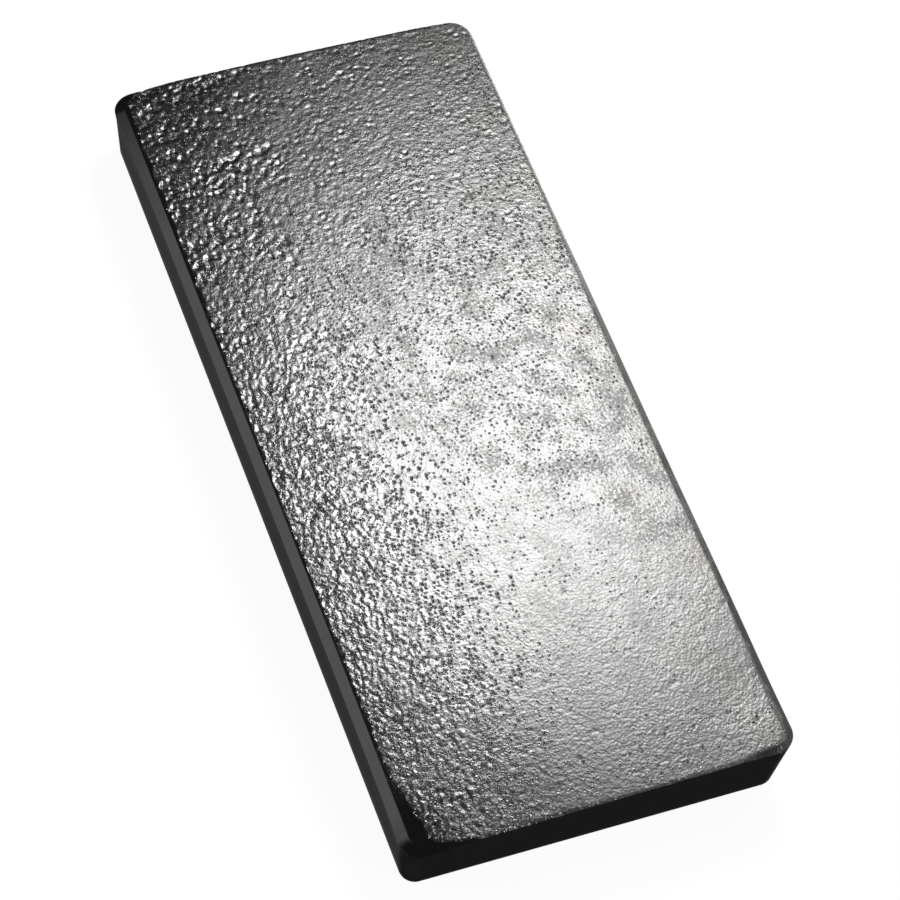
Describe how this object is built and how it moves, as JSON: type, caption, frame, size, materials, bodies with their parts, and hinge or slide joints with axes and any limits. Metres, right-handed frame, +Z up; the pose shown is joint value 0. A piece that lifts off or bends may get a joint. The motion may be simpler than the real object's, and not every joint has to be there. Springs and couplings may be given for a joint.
{
  "type": "silver bar",
  "caption": "Cast silver bar: a flat rectangular slab with leaning sides, round corners and a pitted poured face that curves down to a crisp edge.",
  "frame": {"origin": "middle of the bottom face, on which the bar lies", "axes": "+X across the width, +Y along the length, +Z up, out of the poured face"},
  "size_m": [0.0586, 0.137, 0.0122],
  "materials": {
    "silver": "cast silver, pitted and satin on the poured face, smooth and darker on the sides"
  },
  "bodies": {
    "root": {"bar": "silver"}
  },
  "joints": []
}
